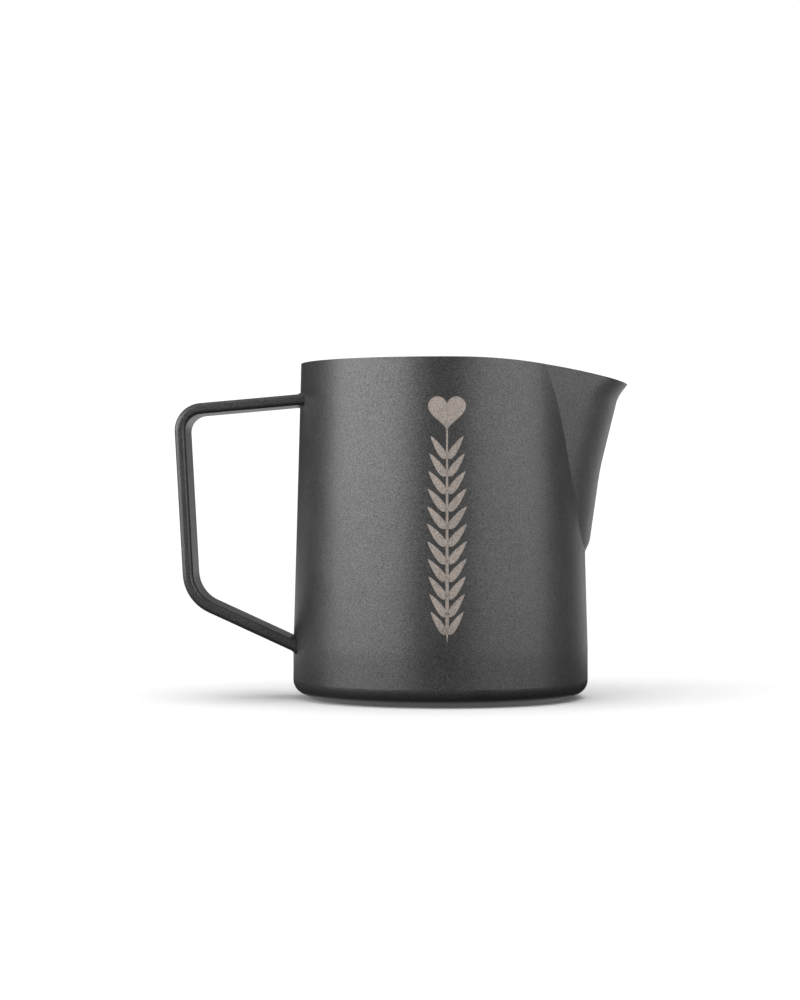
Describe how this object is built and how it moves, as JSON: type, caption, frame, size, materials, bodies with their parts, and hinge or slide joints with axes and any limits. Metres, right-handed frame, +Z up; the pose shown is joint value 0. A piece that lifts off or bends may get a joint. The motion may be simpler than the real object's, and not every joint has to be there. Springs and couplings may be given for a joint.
{
  "type": "milk frothing pitcher",
  "caption": "Small steel milk pitcher with a slightly tapered round cup, a pulled pouring spout at the rim and a bent strip handle welded to the back.",
  "frame": {"origin": "centre of the flat base, on the axis of the round cup", "axes": "+Z up along the cup's axis, +X towards the pouring spout, the handle on the -X side, XZ the plane of symmetry"},
  "size_m": [0.1166, 0.0762, 0.0863],
  "materials": {
    "coated_steel": "fine-textured dark grey powder coat on stainless steel, satin",
    "coated_weld": "the same dark grey powder coat over a smoothed weld bead"
  },
  "bodies": {
    "root": {"pitcher_body": "coated_steel", "handle": "coated_steel", "upper_weld": "coated_weld", "lower_weld": "coated_weld"}
  },
  "joints": []
}
